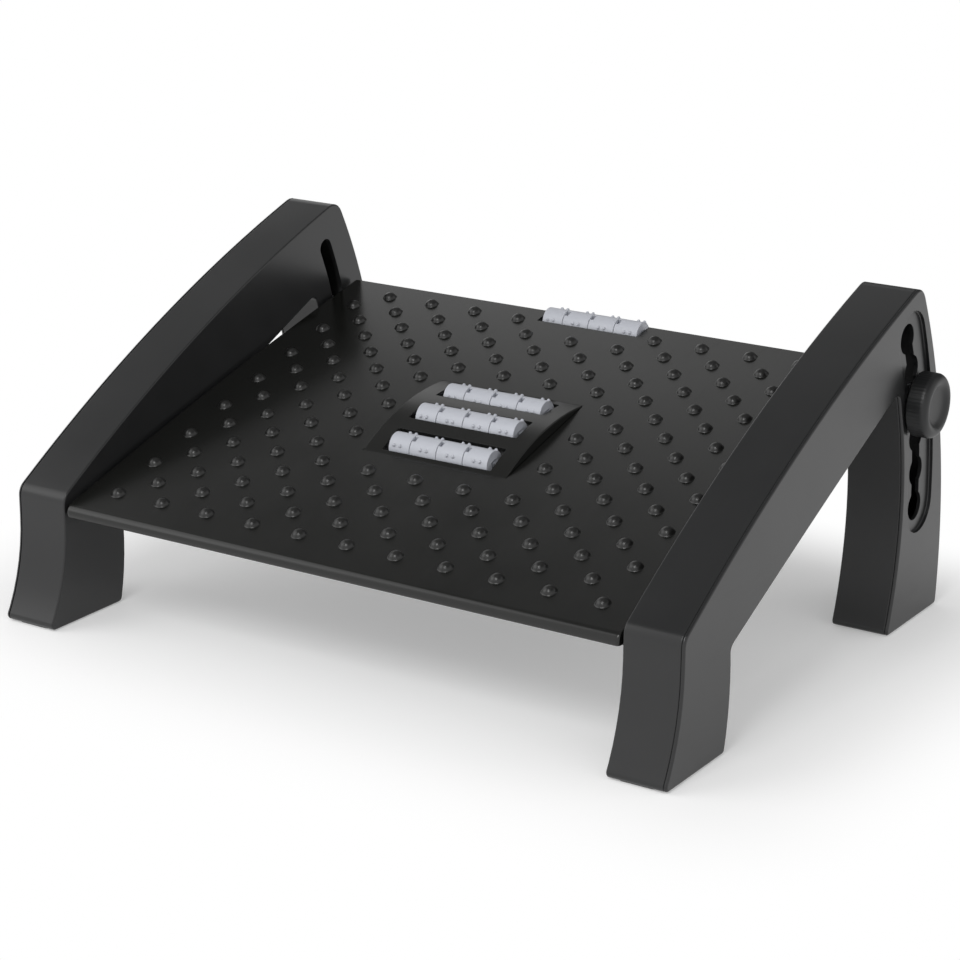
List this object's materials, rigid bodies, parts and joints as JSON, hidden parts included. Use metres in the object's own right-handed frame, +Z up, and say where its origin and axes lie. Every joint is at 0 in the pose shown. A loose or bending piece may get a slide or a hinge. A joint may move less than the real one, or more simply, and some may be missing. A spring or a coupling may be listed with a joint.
{
  "type": "tilting footrest",
  "caption": "Under-desk footrest: bumped tilting deck with massage rollers between arched side frames, locked in notches by side knobs.",
  "frame": {"origin": "on the floor, under the middle of the whole", "axes": "+X to the right side frame, +Y to the back where the deck is high, +Z up"},
  "size_m": [0.4922, 0.3486, 0.2136],
  "materials": {
    "frame_plastic": "fine satin black",
    "deck_plastic": "fine satin black",
    "knob_plastic": "satin black with a bright dished face",
    "roller_plastic": "satin light grey",
    "steel": "zinc plated",
    "nylon": "natural white",
    "rubber": "matt black"
  },
  "bodies": {
    "frames": {"pivot_rod": "steel", "left_frame_shell": "frame_plastic", "left_frame_cover": "frame_plastic", "left_front_pad": "rubber", "left_rear_pad": "rubber", "left_rod_clip": "steel", "left_pivot_washer": "nylon", "right_frame_shell": "frame_plastic", "right_frame_cover": "frame_plastic", "right_front_pad": "rubber", "right_rear_pad": "rubber", "right_rod_clip": "steel", "right_pivot_washer": "nylon"},
    "platform": {"platform_deck": "deck_plastic", "roller_bridge": "deck_plastic", "bridge_screw_1": "steel", "bridge_screw_2": "steel", "bridge_screw_3": "steel", "bridge_screw_4": "steel", "left_clamp_bolt": "steel", "left_sleeve": "steel", "left_inner_washer": "steel", "right_clamp_bolt": "steel", "right_sleeve": "steel", "right_inner_washer": "steel"},
    "front_roller": {"front_roller_axle": "steel", "front_roller_segment_1": "roller_plastic", "front_roller_segment_2": "roller_plastic", "front_roller_segment_3": "roller_plastic", "front_roller_segment_4": "roller_plastic"},
    "middle_roller": {"middle_roller_axle": "steel", "middle_roller_segment_1": "roller_plastic", "middle_roller_segment_2": "roller_plastic", "middle_roller_segment_3": "roller_plastic", "middle_roller_segment_4": "roller_plastic"},
    "back_roller": {"back_roller_axle": "steel", "back_roller_segment_1": "roller_plastic", "back_roller_segment_2": "roller_plastic", "back_roller_segment_3": "roller_plastic", "back_roller_segment_4": "roller_plastic"},
    "rear_roller": {"rear_roller_axle": "steel", "rear_roller_segment_1": "roller_plastic", "rear_roller_segment_2": "roller_plastic", "rear_roller_segment_3": "roller_plastic", "rear_roller_segment_4": "roller_plastic"},
    "left_clamp": {"left_clamp_washer": "steel"},
    "left_handwheel": {"left_knob": "knob_plastic", "left_knob_nut": "steel"},
    "right_clamp": {"right_clamp_washer": "steel"},
    "right_handwheel": {"right_knob": "knob_plastic", "right_knob_nut": "steel"}
  },
  "joints": [
    {"name": "platform_tilt", "type": "hinge", "parent": "frames", "child": "platform", "pos_m": [0, -0.12557, 0.075], "axis": [1, 0, 0], "range_deg": [-15, 10]},
    {"name": "front_roller_spin", "type": "hinge", "parent": "platform", "child": "front_roller", "pos_m": [0, -0.03644, 0.11175], "axis": [1, 0, 0], "continuous": true},
    {"name": "middle_roller_spin", "type": "hinge", "parent": "platform", "child": "middle_roller", "pos_m": [0, -0.00775, 0.12291], "axis": [1, 0, 0], "continuous": true},
    {"name": "back_roller_spin", "type": "hinge", "parent": "platform", "child": "back_roller", "pos_m": [0, 0.02252, 0.12817], "axis": [1, 0, 0], "continuous": true},
    {"name": "rear_roller_spin", "type": "hinge", "parent": "platform", "child": "rear_roller", "pos_m": [0, 0.13909, 0.15251], "axis": [1, 0, 0], "continuous": true},
    {"name": "left_clamp_slide", "type": "slide", "parent": "platform", "child": "left_clamp", "axis": [-1, 0, 0], "range_m": [0, 0.0025]},
    {"name": "left_knob_turn", "type": "hinge", "parent": "left_clamp", "child": "left_handwheel", "pos_m": [-0.2393, 0.12654, 0.14255], "axis": [-1, 0, 0], "range_deg": [0, 720]},
    {"name": "right_clamp_slide", "type": "slide", "parent": "platform", "child": "right_clamp", "axis": [1, 0, 0], "range_m": [0, 0.0025]},
    {"name": "right_knob_turn", "type": "hinge", "parent": "right_clamp", "child": "right_handwheel", "pos_m": [0.2393, 0.12654, 0.14255], "axis": [1, 0, 0], "range_deg": [0, 720]}
  ],
  "couplings": [
    {"joint": "left_knob_turn", "follows": "left_clamp_slide", "rad_per_m": 5026},
    {"joint": "right_knob_turn", "follows": "right_clamp_slide", "rad_per_m": 5026}
  ]
}
